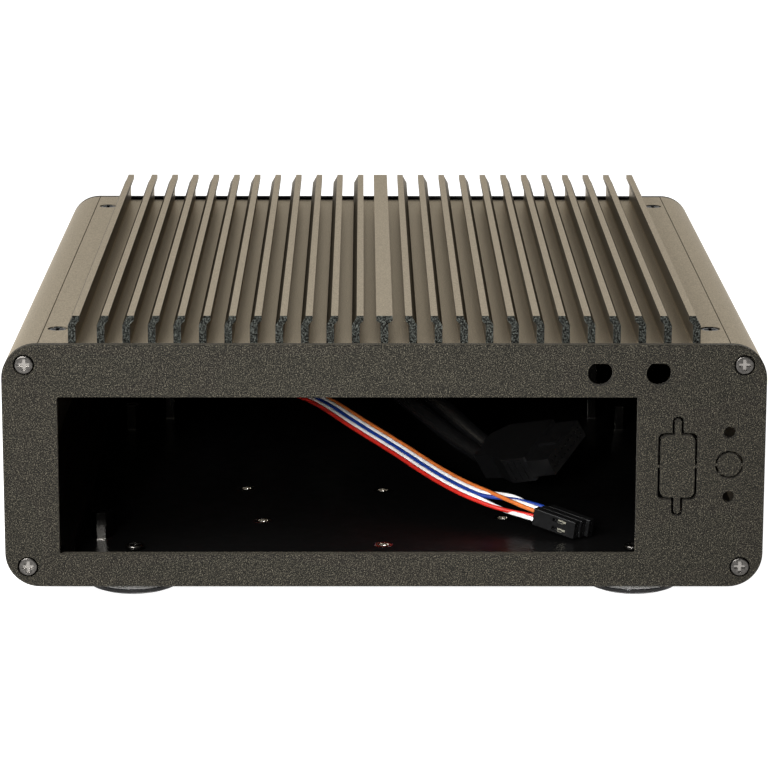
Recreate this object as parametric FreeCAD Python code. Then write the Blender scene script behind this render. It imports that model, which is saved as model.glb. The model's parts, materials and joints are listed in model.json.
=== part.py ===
import FreeCAD, Part

import math
import os

from FreeCAD import Rotation, Vector

# Fanless mini PC case for a Mini-ITX board, in millimetres.
# Frame: X across the case, -Y the rear with the board's I/O aperture, +Y the front with the
# power button, +Z up. The origin is the centre of the box that the case fills, on the ground.

# ---- driving dimensions: case ----
CASE_W = 209.0
CASE_D = 238.0
FOOT_SHOWN = 6.0
PANEL_H = 68.4
PANEL_T = 2.5
CORNER_R = 9.5
EDGE_CHAMFER = 0.35
BUTTON_PROUD = 1.0

HALF_W = CASE_W / 2
REAR_Y = -CASE_D / 2
FRONT_Y = CASE_D / 2 - BUTTON_PROUD
RAIL_REAR_Y = REAR_Y + PANEL_T
RAIL_FRONT_Y = FRONT_Y - PANEL_T
BASE_Z = FOOT_SHOWN
TOP_Z = BASE_Z + PANEL_H

# ---- board aperture and rear connectors, heights above the panel's lower edge ----
APERTURE_W = 158.75
APERTURE_H = 44.45
APERTURE_X = -10.1
APERTURE_UP = 31.55
APERTURE_R = 0.6
ANTENNA_X = (58.9, 74.9)
ANTENNA_UP = 60.4
ANTENNA_R = 3.4
ANTENNA_FLAT = 2.8
SERIAL_X = 80.5
SERIAL_UP = 34.3
SERIAL_W = 10.9
SERIAL_H = 19.0
SERIAL_TAB_W = 3.2
SERIAL_TAB_H = 28.2
SERIAL_R = 1.8
BLANK_X = 94.7
BLANK_UP = 34.8
BLANK_R = 3.95
TAPPED_UP = (25.6, 43.8)
TAPPED_R = 1.75
KERF = 0.75
BLANK_KERF = 0.7
BRIDGE = 0.7
BLANK_BRIDGES = (0, 135, 180)

# ---- screws ----
CORNER_X = 98.3
CORNER_UP = (5.6, 62.7)
SCREW_R = 1.45
TAP_R = 1.5
CLEAR_R = 1.6
HEAD_R = 2.7
HEAD_H = 1.5
HEAD_ROUND = 0.6
SINK_R = 2.95
SINK_DEPTH = 1.7
SOCKET_ACROSS = 1.0
SOCKET_LONG = 3.2
SOCKET_DEPTH = 0.9
PANEL_SHANK = 9.0
TOP_SHANK = 4.8
FLOOR_SHANK = 5.0
FOOT_SHANK = 7.0
BRACKET_SHANK = 3.0
BOARD_SHANK = 4.5

# ---- rails ----
SEAM_X = 94.65
RAIL_WALL = 3.0
RAIL_BLOCK = 10.0
LEDGE_X = 87.5
LEDGE_T = 3.0

# ---- finned top ----
SEAM_GAP = 0.25
TOP_PLATE_X = SEAM_X - SEAM_GAP
TOP_PLATE_T = 4.0
CHANNEL_DEPTH = 0.9
FIN_RISE = 7.6
FIN_PITCH = 6.95
FIN_FIRST_X = 7.83
FINS_PER_SIDE = 11
FIN_LAST_X = 85.2
FIN_STEM = 2.1
FIN_HEAD = 1.9
FIN_SHIFT = 1.3
CENTRE_HEAD = 4.45
FIN_ROOT = 0.5
# depths below a fin's top between which each of its sides steps across
OUTER_STEP = (2.7, 0.4)
INNER_STEP = (2.5, 1.3)
CENTRE_STEP = (2.1, 1.4)
PLATE_SCREW_X = 90.7
PLATE_SCREW_Y = 97.6

# ---- floor ----
FLOOR_LOW = BASE_Z + 1.5
FLOOR_T = 2.5
FLOOR_Z = FLOOR_LOW + FLOOR_T
FLOOR_SCREW_X = 91.0
FLOOR_SCREW_Y = 104.0
FOOT_X = 70.5
FOOT_Y = 94.5
FOOT_R = 12.7
FOOT_RIM_Z = 1.7
FOOT_SHOULDER_R = 11.6
FOOT_SHOULDER_Z = 2.8
FOOT_NECK_R = 9.0
FOOT_NECK_Z = 3.2
FOOT_EDGE_R = 0.35
FOOT_BORE_FROM = 1.7
PAD_R = 11.2
PAD_T = 0.5

# ---- board standoffs: the Mini-ITX hole pattern, from its rear left hole ----
STANDOFF_REAR_LEFT = (-80.6, -82.0)
ITX_ACROSS = 157.48
ITX_DEEP = 154.94
ITX_SHORT = 132.08
STANDOFF_H = 7.8
HEX_ACROSS = 5.0
HEX_ROUND = 0.35
STUD_END = 0.3
STANDOFF_BORE_R = 1.3
STANDOFF_BORE_FROM = 1.0
POST_X = 69.0
POST_Y = 66.0
POST_H = 22.0
INSERTS = ((0.0, -90.0), (0.0, -29.0), (-35.0, -64.0), (35.0, -61.0), (-41.0, -27.0))
INSERT_R = 2.75

# ---- front controls ----
BUTTON_X = -78.0
BUTTON_Z = 40.0
BUTTON_R = 5.9
BUTTON_ROUND = 0.4
PLUNGER_R = 2.0
PLUNGER_BORE = 2.15
PLUNGER_END_Y = 100.5
PLUNGER_BORE_END_Y = 98.5
BARREL_BORE = 6.0
BARREL_R = 7.9
BARREL_END_Y = 102.0
BEZEL_R = 9.0
BEZEL_T = 0.5
NUT_ACROSS = 20.0
NUT_T = 2.4
SWITCH_L = 8.0
TERMINALS = (10.0, 6.0, 6.0)
CAP_BACK_Y = 114.5
LED_X = (-62.0, -54.0)
LED_R = 1.5
LED_FLANGE_R = 1.9
LED_DOME_Y = 116.8
LED_LEAD_X = 1.27
LED_LEAD_HALF = 0.25
LED_FIT = 0.05
LED_HOLDER_EDGE = 4.0
LED_FLANGE_Y = (111.0, 112.0)
LED_LEADS_END_Y = 104.0
PORT_X = (-36.0, -16.0)
PORT_W = 13.2
PORT_H = 5.7
PORT_WALL = 0.35
PORT_BACK_Y = 100.5
PORT_BACK_T = 1.0
PORT_MARGIN = 0.2
PORT_HOLE_R = 0.5
TONGUE_HALF_W = 5.3
TONGUE_T = 1.9
TONGUE_DROP = 0.7
TONGUE_BACK = 0.5
TONGUE_SHY = 0.8
BOARD_Z = 31.5
BOARD_T = 1.6
FRONT_BOARD = (-50.0, -2.0, 90.0, 114.0)
SHEET_T = 1.2
BRACKET_FROM_Y = 96.0
BRACKET_TO_Y = 112.0
CLAMP_FROM = (-37.0, 92.0)
CLAMP_TO = (-22.0, 99.0)
CLAMP_H = 7.2

# ---- leads: the points that each one's centreline turns at ----
RIBBON_D = 3.4
RIBBON_ROUTE = (
    (-78.0, 88.0, 40.0),
    (-78.4, 74.0, 39.6),
    (-74.0, 54.0, 37.6),
    (-62.0, 37.0, 35.4),
    (-46.0, 22.0, 34.0),
    (-31.0, 10.0, 33.2),
    (-18.7, -0.8, 32.0),
    (-6.5, -21.4, 28.6),
    (5.3, -36.6, 25.0),
    (16.1, -51.0, 21.1),
    (26.8, -63.5, 18.4),
    (38.0, -70.9, 16.7),
    (45.3, -76.0, 15.3),
)
USB_D = 5.0
USB_LOWER_ROUTE = (
    (-32.4, 92.0, 37.0),
    (-32.4, 77.8, 37.2),
    (-30.3, 61.5, 38.2),
    (-26.4, 44.2, 39.9),
    (-20.3, 27.5, 41.3),
    (-13.3, 11.5, 41.7),
    (-4.8, -3.9, 40.5),
    (3.8, -15.8, 37.7),
    (11.1, -24.4, 33.8),
    (17.7, -31.6, 29.7),
    (24.0, -37.8, 26.2),
    (30.5, -43.1, 23.5),
)
USB_UPPER_ROUTE = (
    (-26.6, 92.0, 37.0),
    (-26.6, 78.2, 37.2),
    (-24.9, 62.5, 38.6),
    (-21.2, 45.8, 40.9),
    (-15.7, 29.5, 43.3),
    (-9.1, 13.5, 44.7),
    (-1.2, -2.1, 44.3),
    (7.4, -14.2, 41.5),
    (14.9, -22.8, 37.4),
    (21.9, -29.2, 32.5),
    (28.0, -34.2, 27.8),
    (34.1, -38.9, 23.9),
)

# ---- loose header plugs: where each starts, and its own directions ----
USB_PLUG_START = Vector(32.3, -41.0, 23.7)
USB_PLUG_FORWARD = Vector(0.735, -0.63, 0.247)
USB_PLUG_LONG = Vector(0.50, 0.75, 0.43)
USB_GRIP_OUTLINE = (
    (-1.5, -5.4),
    (-1.5, 5.4),
    (4.0, 9.5),
    (21.0, 9.5),
    (21.0, -9.5),
    (12.0, -9.5),
    (6.0, -6.2),
)
USB_GRIP_THICK = 8.4
USB_GRIP_ROUND = 0.8
USB_RIBS = 3
USB_RIB_FROM = 12.8
USB_RIB_STEP = 2.4
USB_RIB_WIDE = 1.2
USB_RIB_INSET = 1.0
USB_RIB_PROUD = 0.4
USB_COLLAR_FROM = 20.5
USB_COLLAR_TO = 29.0
USB_COLLAR_LONG = 19.0
USB_COLLAR_THICK = 5.6
USB_KEY_HALF = 2.0
USB_KEY_TO = 27.5
USB_KEY_PROUD = 0.8
USB_WAYS = 9
USB_PITCH = 2.0
USB_HOLE_HALF = 0.4
USB_HOLE_DEEP = 4.0
HOUSING_START = Vector(45.3, -76.0, 15.3)
HOUSING_FORWARD = Vector(0.80, -0.57, -0.15)
HOUSING_SIZE = (14.0, 5.1, 2.5)
HOUSING_ROUND = 0.25
HOUSING_STEP = 2.6
HOUSING_STAGGER = (0.0, 0.5, 1.6)
CONTACT_SIDE = 1.27
# half widths, and distances back from the housing's open end
SOCKET_HALF = 0.35
SOCKET_BACK = 6.5
WINDOW_HALF = 0.55
WINDOW_BACK = (7.5, 3.0)
LATCH_HALF = 0.45
STRIP_HALF = 0.3
STRIP_BACK = (6.2, 1.0)
LATCH_BACK = (4.4, 3.2)
LATCH_TOP = 0.9

PARTS = {}


def box(low, high):
    size = [high[i] - low[i] for i in range(3)]
    return Part.makeBox(size[0], size[1], size[2], Vector(*low))


def rod(centre, radius, length, direction):
    return Part.makeCylinder(radius, length, Vector(*centre), Vector(*direction))


def along_y(x, z, radius, y_from, y_to):
    return rod((x, y_from, z), radius, y_to - y_from, (0, 1, 0))


def along_z(x, y, radius, z_from, z_to):
    return rod((x, y, z_from), radius, z_to - z_from, (0, 0, 1))


def edges_where(shape, test):
    return [edge for edge in shape.Edges if all(test(vertex.Point) for vertex in edge.Vertexes)]


def runs_along(edge, axis):
    first = edge.Vertexes[0].Point
    last = edge.Vertexes[-1].Point
    others = [i for i in range(3) if i != axis]
    return abs(first[axis] - last[axis]) > 1e-6 and all(abs(first[i] - last[i]) < 1e-6 for i in others)


def rounded_box(low, high, radius, axis):
    """A box whose four edges along one axis (0, 1 or 2) are rounded."""
    shape = box(low, high)
    return shape.makeFillet(radius, [edge for edge in shape.Edges if runs_along(edge, axis)])


def prism_y(points, y_from, y_to):
    """A straight extrusion along Y of the closed outline through (x, z) points."""
    corners = [Vector(x, y_from, z) for x, z in points]
    face = Part.Face(Part.makePolygon(corners + corners[:1]))
    return face.extrude(Vector(0, y_to - y_from, 0))


def hexagon(x, y, across, z_from, z_to):
    radius = across / math.sqrt(3)
    corners = []
    for i in range(6):
        turn = math.radians(60 * i)
        corners.append(Vector(x + radius * math.cos(turn), y + radius * math.sin(turn), z_from))
    face = Part.Face(Part.makePolygon(corners + corners[:1]))
    return face.extrude(Vector(0, 0, z_to - z_from))


def mirrored(shape):
    return shape.mirror(Vector(0, 0, 0), Vector(1, 0, 0))


def screw(seat, direction, shank_length):
    """A pan head screw: its head stands on the seat point, its shank goes along direction."""
    into = Vector(*direction)
    seat = Vector(*seat)
    head = Part.makeCylinder(HEAD_R, HEAD_H, seat - into * HEAD_H, into)
    rim = [edge for edge in head.Edges if edge.Closed and edge.distToShape(Part.Vertex(seat))[0] > HEAD_H]
    head = head.makeFillet(HEAD_ROUND, rim)
    shank = Part.makeCylinder(SCREW_R, shank_length, seat, into)
    shape = head.fuse(shank).removeSplitter()
    blade = box((-SOCKET_LONG / 2, -SOCKET_ACROSS / 2, 0), (SOCKET_LONG / 2, SOCKET_ACROSS / 2, SOCKET_DEPTH))
    cross = blade.fuse(blade.rotated(Vector(0, 0, 0), Vector(0, 0, 1), 90))
    cross.Placement = FreeCAD.Placement(seat - into * HEAD_H, Rotation(Vector(0, 0, 1), into))
    return shape.cut(cross)


def tube(route, diameter):
    """A tube along straight runs joined by tangent arcs, as large as the runs allow."""
    points = [Vector(*point) for point in route]
    edges = []
    start = points[0]
    radii = []
    for before, corner, after in zip(points, points[1:], points[2:]):
        arriving = (corner - before).normalize()
        leaving = (after - corner).normalize()
        turn = arriving.getAngle(leaving)
        shorter = min((corner - before).Length, (after - corner).Length)
        reach = 0.45 * shorter
        radius = reach / math.tan(turn / 2)
        radii.append(radius)
        enter = corner - arriving * reach
        leave = corner + leaving * reach
        inward = (leaving - arriving).normalize()
        centre = corner + inward * (radius / math.cos(turn / 2))
        middle = centre - inward * radius
        edges.append(Part.LineSegment(start, enter).toShape())
        edges.append(Part.Arc(enter, middle, leave).toShape())
        start = leave
    edges.append(Part.LineSegment(start, points[-1]).toShape())
    path = Part.Wire(edges)
    profile = Part.Wire([Part.makeCircle(diameter / 2, points[0], points[1] - points[0])])
    shape = path.makePipeShell([profile], True, False)
    length = sum(edge.Length for edge in edges)
    expected = math.pi * diameter ** 2 / 4 * length
    print("lead length %.1f, volume ratio %.4f" % (length, shape.Volume / expected))
    print("  radii " + ", ".join("%.0f" % radius for radius in radii))
    return shape


def turned(shape, origin, forward, sideways):
    """Put a shape modelled along +X, with its width along Y, at origin along forward."""
    x_axis = Vector(forward).normalize()
    z_axis = x_axis.cross(sideways).normalize()
    y_axis = z_axis.cross(x_axis)
    placed = shape.copy()
    placed.Placement = FreeCAD.Placement(origin, Rotation(x_axis, y_axis, z_axis, "ZXY"))
    return placed


def group(solids):
    return Part.makeCompound(solids)


# ---- end panels ----

def panel_blank(y_from, y_to, outer_y):
    low = (-HALF_W, y_from, BASE_Z)
    high = (HALF_W, y_to, TOP_Z)
    shape = rounded_box(low, high, CORNER_R, 1)
    rim = edges_where(shape, lambda point: abs(point.y - outer_y) < 1e-6)
    return shape.makeChamfer(EDGE_CHAMFER, rim)


def corner_holes(outer_y, inward):
    holes = []
    for side in (-1, 1):
        for up in CORNER_UP:
            centre = (side * CORNER_X, outer_y, BASE_Z + up)
            holes.append(rod(centre, CLEAR_R, PANEL_T, (0, inward, 0)))
            holes.append(rod(centre, SINK_R, SINK_DEPTH, (0, inward, 0)))
    return holes


def serial_outline(shrink):
    """The D-sub knockout: a rounded window with a screw tab above and below."""
    z = BASE_Z + SERIAL_UP
    half_w = SERIAL_W / 2 - shrink
    half_h = SERIAL_H / 2 - shrink
    half_tab_w = SERIAL_TAB_W / 2 - shrink
    half_tab_h = SERIAL_TAB_H / 2 - shrink
    y_to = REAR_Y + PANEL_T
    low = (SERIAL_X - half_w, REAR_Y, z - half_h)
    window = rounded_box(low, (SERIAL_X + half_w, y_to, z + half_h), SERIAL_R, 1)
    tab_low = (SERIAL_X - half_tab_w, REAR_Y, z - half_tab_h)
    tab_high = (SERIAL_X + half_tab_w, y_to, z + half_tab_h)
    return window.fuse(rounded_box(tab_low, tab_high, half_tab_w * 0.95, 1))


def serial_kerf():
    z = BASE_Z + SERIAL_UP
    ring = serial_outline(0.0).cut(serial_outline(KERF))
    reach = SERIAL_W / 2 + KERF
    low = (SERIAL_X - reach, REAR_Y, z - BRIDGE / 2)
    return ring.cut(box(low, (SERIAL_X + reach, REAR_Y + PANEL_T, z + BRIDGE / 2)))


def blank_kerf():
    z = BASE_Z + BLANK_UP
    ring = along_y(BLANK_X, z, BLANK_R, REAR_Y, REAR_Y + PANEL_T)
    ring = ring.cut(along_y(BLANK_X, z, BLANK_R - BLANK_KERF, REAR_Y, REAR_Y + PANEL_T))
    bridge = box((0, REAR_Y, -BRIDGE / 2), (BLANK_R + KERF, REAR_Y + PANEL_T, BRIDGE / 2))
    for turn in BLANK_BRIDGES:
        arm = bridge.copy()
        arm.rotate(Vector(0, 0, 0), Vector(0, 1, 0), turn)
        arm.translate(Vector(BLANK_X, 0, z))
        ring = ring.cut(arm)
    return ring


def antenna_hole(x):
    z = BASE_Z + ANTENNA_UP
    hole = along_y(x, z, ANTENNA_R, REAR_Y, REAR_Y + PANEL_T)
    above = (x - ANTENNA_R, REAR_Y, z + ANTENNA_FLAT)
    return hole.cut(box(above, (x + ANTENNA_R, REAR_Y + PANEL_T, z + ANTENNA_R)))


def rear_io_panel():
    shape = panel_blank(REAR_Y, REAR_Y + PANEL_T, REAR_Y)
    z = BASE_Z + APERTURE_UP
    low = (APERTURE_X - APERTURE_W / 2, REAR_Y, z - APERTURE_H / 2)
    high = (APERTURE_X + APERTURE_W / 2, REAR_Y + PANEL_T, z + APERTURE_H / 2)
    cuts = [rounded_box(low, high, APERTURE_R, 1), serial_kerf(), blank_kerf()]
    cuts += [antenna_hole(x) for x in ANTENNA_X]
    cuts += [along_y(BLANK_X, BASE_Z + up, TAPPED_R, REAR_Y, REAR_Y + PANEL_T) for up in TAPPED_UP]
    cuts += corner_holes(REAR_Y, 1)
    return shape.cut(cuts)


def front_panel():
    y_from = RAIL_FRONT_Y
    shape = panel_blank(y_from, FRONT_Y, FRONT_Y)
    cuts = corner_holes(FRONT_Y, -1)
    cuts.append(along_y(BUTTON_X, BUTTON_Z, BARREL_R + 0.1, y_from, FRONT_Y))
    cuts += [along_y(x, BUTTON_Z, LED_R + LED_FIT, y_from, FRONT_Y) for x in LED_X]
    for x in PORT_X:
        low = (x - PORT_W / 2 - PORT_MARGIN, y_from, BOARD_Z + BOARD_T - PORT_MARGIN)
        high = (x + PORT_W / 2 + PORT_MARGIN, FRONT_Y, BOARD_Z + BOARD_T + PORT_H + PORT_MARGIN)
        cuts.append(rounded_box(low, high, PORT_HOLE_R, 1))
    return shape.cut(cuts)


# ---- rails, finned top and floor ----

def right_rail():
    whole = rounded_box((-HALF_W, RAIL_REAR_Y, BASE_Z), (HALF_W, RAIL_FRONT_Y, TOP_Z), CORNER_R, 1)
    shape = whole.cut(box((-HALF_W, RAIL_REAR_Y, BASE_Z), (SEAM_X, RAIL_FRONT_Y, TOP_Z)))
    hollow_high = (HALF_W - RAIL_WALL, RAIL_FRONT_Y, TOP_Z - RAIL_BLOCK)
    shape = shape.cut(box((SEAM_X, RAIL_REAR_Y, BASE_Z + RAIL_BLOCK), hollow_high))
    plate_low = TOP_Z - TOP_PLATE_T
    upper = box((LEDGE_X, RAIL_REAR_Y, plate_low - LEDGE_T), (SEAM_X, RAIL_FRONT_Y, plate_low))
    lower = box((LEDGE_X, RAIL_REAR_Y, FLOOR_Z), (SEAM_X, RAIL_FRONT_Y, FLOOR_Z + LEDGE_T))
    shape = shape.fuse([upper, lower]).removeSplitter()
    taps = []
    for up in CORNER_UP:
        taps.append(along_y(CORNER_X, BASE_Z + up, TAP_R, RAIL_REAR_Y, RAIL_FRONT_Y))
    for side in (-1, 1):
        taps.append(along_z(PLATE_SCREW_X, side * PLATE_SCREW_Y, TAP_R, plate_low - LEDGE_T, plate_low))
        taps.append(along_z(FLOOR_SCREW_X, side * FLOOR_SCREW_Y, TAP_R, FLOOR_Z, FLOOR_Z + LEDGE_T))
    return shape.cut(taps)


def fin_outline(x, fin_top, floor):
    """A fin whose upper part steps sideways, towards the case's middle for x below 0."""
    half = FIN_STEM / 2
    outer_low, outer_high = [fin_top - depth for depth in OUTER_STEP]
    inner_low, inner_high = [fin_top - depth for depth in INNER_STEP]
    head_from = FIN_SHIFT - half
    head_to = head_from + FIN_HEAD
    points = [(-half, floor), (-half, outer_low), (head_from, outer_high), (head_from, fin_top)]
    points += [(head_to, fin_top), (head_to, inner_high), (half, inner_low), (half, floor)]
    side = 1 if x < 0 else -1
    return [(x + side * dx, z) for dx, z in points]


def centre_fin_outline(fin_top, floor):
    half = FIN_STEM / 2
    wide = CENTRE_HEAD / 2
    low, high = [fin_top - depth for depth in CENTRE_STEP]
    left = [(-half, floor), (-half, low), (-wide, high), (-wide, fin_top)]
    right = [(-x, z) for x, z in reversed(left)]
    return left + right


def fin_positions():
    places = [FIN_FIRST_X + FIN_PITCH * i for i in range(FINS_PER_SIDE)]
    places.append(FIN_LAST_X)
    return sorted([-x for x in places] + places)


def top_heatsink():
    plate_low = TOP_Z - TOP_PLATE_T
    floor = TOP_Z - CHANNEL_DEPTH
    fin_top = TOP_Z + FIN_RISE
    rim_x = FIN_LAST_X + FIN_STEM / 2
    outline = [(-TOP_PLATE_X, plate_low), (TOP_PLATE_X, plate_low), (TOP_PLATE_X, TOP_Z), (rim_x, TOP_Z)]
    outline += [(rim_x, floor), (-rim_x, floor), (-rim_x, TOP_Z), (-TOP_PLATE_X, TOP_Z)]
    shape = prism_y(outline, RAIL_REAR_Y, RAIL_FRONT_Y)
    root = floor - FIN_ROOT
    fins = [prism_y(fin_outline(x, fin_top, root), RAIL_REAR_Y, RAIL_FRONT_Y) for x in fin_positions()]
    fins.append(prism_y(centre_fin_outline(fin_top, root), RAIL_REAR_Y, RAIL_FRONT_Y))
    shape = shape.fuse(fins).removeSplitter()
    cuts = []
    for side in (-1, 1):
        for y in (-PLATE_SCREW_Y, PLATE_SCREW_Y):
            cuts.append(along_z(side * PLATE_SCREW_X, y, CLEAR_R, plate_low, TOP_Z))
            cuts.append(along_z(side * PLATE_SCREW_X, y, HEAD_R + 0.1, TOP_Z - SINK_DEPTH, TOP_Z))
    return shape.cut(cuts)


def standoff_places():
    x, y = STANDOFF_REAR_LEFT
    far = y + ITX_SHORT
    right = x + ITX_ACROSS
    return ((x, y), (right, far - ITX_DEEP), (x, far), (right, far))


def both_posts():
    return ((-POST_X, POST_Y), (POST_X, POST_Y))


def foot_places():
    return [(x, y) for y in (-FOOT_Y, FOOT_Y) for x in (-FOOT_X, FOOT_X)]


def bracket_screw_places():
    return ((-44.0, 107.0), (-8.0, 107.0))


def bottom_plate():
    shape = box((-TOP_PLATE_X, RAIL_REAR_Y, FLOOR_LOW), (TOP_PLATE_X, RAIL_FRONT_Y, FLOOR_Z))
    cuts = [along_z(x, y, CLEAR_R, FLOOR_LOW, FLOOR_Z) for x, y in foot_places()]
    cuts += [along_z(x, y, TAP_R, FLOOR_LOW, FLOOR_Z) for x, y in standoff_places() + both_posts()]
    cuts += [along_z(x, y, INSERT_R, FLOOR_LOW, FLOOR_Z) for x, y in INSERTS]
    cuts += [along_z(x, y, TAP_R, FLOOR_LOW, FLOOR_Z) for x, y in bracket_screw_places()]
    for side in (-1, 1):
        for y in (-FLOOR_SCREW_Y, FLOOR_SCREW_Y):
            cuts.append(along_z(side * FLOOR_SCREW_X, y, CLEAR_R, FLOOR_LOW, FLOOR_Z))
    return shape.cut(cuts)


# ---- feet and fasteners ----

def foot(x, y):
    """A turned foot: a wide low disc with a bevelled shoulder, sloping up to a narrower neck."""
    outline = [(0, PAD_T), (FOOT_R, PAD_T), (FOOT_R, FOOT_RIM_Z), (FOOT_SHOULDER_R, FOOT_SHOULDER_Z)]
    outline += [(FOOT_NECK_R, FOOT_NECK_Z), (FOOT_NECK_R, FLOOR_LOW), (0, FLOOR_LOW)]
    corners = [Vector(radius, 0, z) for radius, z in outline]
    shape = Part.Face(Part.makePolygon(corners + corners[:1])).revolve(Vector(0, 0, 0), Vector(0, 0, 1), 360)
    rims = [edge for edge in shape.Edges if edge.Closed and edge.BoundBox.XMax > FOOT_R - 0.01]
    shape = shape.makeFillet(FOOT_EDGE_R, rims)
    shape.translate(Vector(x, y, 0))
    return shape.cut(along_z(x, y, TAP_R, FOOT_BORE_FROM, FLOOR_LOW))


def standoff(x, y, height):
    shape = hexagon(x, y, HEX_ACROSS, FLOOR_Z, FLOOR_Z + height)
    shape = shape.makeFillet(HEX_ROUND, [edge for edge in shape.Edges if runs_along(edge, 2)])
    shape = shape.fuse(along_z(x, y, SCREW_R, FLOOR_LOW + STUD_END, FLOOR_Z))
    return shape.cut(along_z(x, y, STANDOFF_BORE_R, FLOOR_Z + STANDOFF_BORE_FROM, FLOOR_Z + height))


def insert(x, y):
    ring = along_z(x, y, INSERT_R, FLOOR_LOW, FLOOR_Z)
    return ring.cut(along_z(x, y, TAP_R, FLOOR_LOW, FLOOR_Z))


def corner_screws(outer_y, inward):
    seat_y = outer_y + inward * SINK_DEPTH
    solids = []
    for side in (-1, 1):
        for up in CORNER_UP:
            solids.append(screw((side * CORNER_X, seat_y, BASE_Z + up), (0, inward, 0), PANEL_SHANK))
    return group(solids)


def top_screws():
    seat_z = TOP_Z - SINK_DEPTH
    places = [(side * PLATE_SCREW_X, y) for side in (-1, 1) for y in (-PLATE_SCREW_Y, PLATE_SCREW_Y)]
    return group([screw((x, y, seat_z), (0, 0, -1), TOP_SHANK) for x, y in places])


def floor_screws():
    places = [(side * FLOOR_SCREW_X, y) for side in (-1, 1) for y in (-FLOOR_SCREW_Y, FLOOR_SCREW_Y)]
    return group([screw((x, y, FLOOR_LOW), (0, 0, 1), FLOOR_SHANK) for x, y in places])


def foot_screws():
    return group([screw((x, y, FLOOR_Z), (0, 0, -1), FOOT_SHANK) for x, y in foot_places()])


# ---- power button ----

def power_button_cap():
    shape = along_y(BUTTON_X, BUTTON_Z, BUTTON_R, CAP_BACK_Y, FRONT_Y + BUTTON_PROUD)
    rim = [edge for edge in shape.Edges if edge.Closed and edge.BoundBox.YMin > FRONT_Y]
    shape = shape.makeFillet(BUTTON_ROUND, rim)
    return shape.fuse(along_y(BUTTON_X, BUTTON_Z, PLUNGER_R, PLUNGER_END_Y, CAP_BACK_Y)).removeSplitter()


def button_barrel():
    shape = along_y(BUTTON_X, BUTTON_Z, BARREL_R, BARREL_END_Y, FRONT_Y)
    shape = shape.fuse(along_y(BUTTON_X, BUTTON_Z, BEZEL_R, FRONT_Y, FRONT_Y + BEZEL_T)).removeSplitter()
    return shape.cut(along_y(BUTTON_X, BUTTON_Z, BARREL_BORE, BARREL_END_Y, FRONT_Y + BEZEL_T))


def button_nut():
    shape = hexagon(0, 0, NUT_ACROSS, 0, NUT_T)
    shape = shape.cut(along_z(0, 0, BARREL_R, 0, NUT_T))
    shape.rotate(Vector(0, 0, 0), Vector(1, 0, 0), 90)
    shape.translate(Vector(BUTTON_X, RAIL_FRONT_Y, BUTTON_Z))
    return shape


def power_switch():
    back = BARREL_END_Y - SWITCH_L
    shape = along_y(BUTTON_X, BUTTON_Z, BARREL_R, back, BARREL_END_Y)
    shape = shape.cut(along_y(BUTTON_X, BUTTON_Z, PLUNGER_BORE, PLUNGER_BORE_END_Y, BARREL_END_Y))
    wide, deep, high = TERMINALS
    low = (BUTTON_X - wide / 2, back - deep, BUTTON_Z - high / 2)
    block = box(low, (BUTTON_X + wide / 2, back, BUTTON_Z + high / 2))
    return shape.fuse(block).removeSplitter()


def led(x):
    flange_from, flange_to = LED_FLANGE_Y
    shape = along_y(x, BUTTON_Z, LED_R, flange_to, LED_DOME_Y)
    shape = shape.fuse(Part.makeSphere(LED_R, Vector(x, LED_DOME_Y, BUTTON_Z)))
    return shape.fuse(along_y(x, BUTTON_Z, LED_FLANGE_R, flange_from, flange_to)).removeSplitter()


def led_leads():
    solids = []
    for x in LED_X:
        for lead_x in (x - LED_LEAD_X, x + LED_LEAD_X):
            low = (lead_x - LED_LEAD_HALF, LED_LEADS_END_Y, BUTTON_Z - LED_LEAD_HALF)
            high = (lead_x + LED_LEAD_HALF, LED_FLANGE_Y[0], BUTTON_Z + LED_LEAD_HALF)
            solids.append(box(low, high))
    return group(solids)


def led_holder():
    """A strip that carries both lamps, bonded behind the panel."""
    y_from = LED_FLANGE_Y[1]
    low = (LED_X[0] - LED_HOLDER_EDGE, y_from, BUTTON_Z - LED_HOLDER_EDGE)
    shape = box(low, (LED_X[1] + LED_HOLDER_EDGE, RAIL_FRONT_Y, BUTTON_Z + LED_HOLDER_EDGE))
    return shape.cut([along_y(x, BUTTON_Z, LED_R + LED_FIT, y_from, RAIL_FRONT_Y) for x in LED_X])


# ---- front USB board ----

def usb_port(x):
    """A USB type A socket: a thin metal shell with a tongue under its roof."""
    low_z = BOARD_Z + BOARD_T
    low = (x - PORT_W / 2, PORT_BACK_Y, low_z)
    high = (x + PORT_W / 2, FRONT_Y, low_z + PORT_H)
    inner_low = (low[0] + PORT_WALL, PORT_BACK_Y + PORT_BACK_T, low_z + PORT_WALL)
    inner_high = (high[0] - PORT_WALL, FRONT_Y, high[2] - PORT_WALL)
    shell = box(low, high).cut(box(inner_low, inner_high))
    tongue_top = high[2] - PORT_WALL - TONGUE_DROP
    tongue_low = (x - TONGUE_HALF_W, PORT_BACK_Y + TONGUE_BACK, tongue_top - TONGUE_T)
    tongue = box(tongue_low, (x + TONGUE_HALF_W, FRONT_Y - TONGUE_SHY, tongue_top))
    return shell.fuse(tongue).removeSplitter()


def front_usb_board():
    x0, x1, y0, y1 = FRONT_BOARD
    shape = box((x0, y0, BOARD_Z), (x1, y1, BOARD_Z + BOARD_T))
    return shape.cut([along_z(x, y, CLEAR_R, BOARD_Z, BOARD_Z + BOARD_T) for x, y in board_screw_places()])


def board_screw_places():
    return ((-26.0, 106.0), (-5.5, 106.0))


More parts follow.
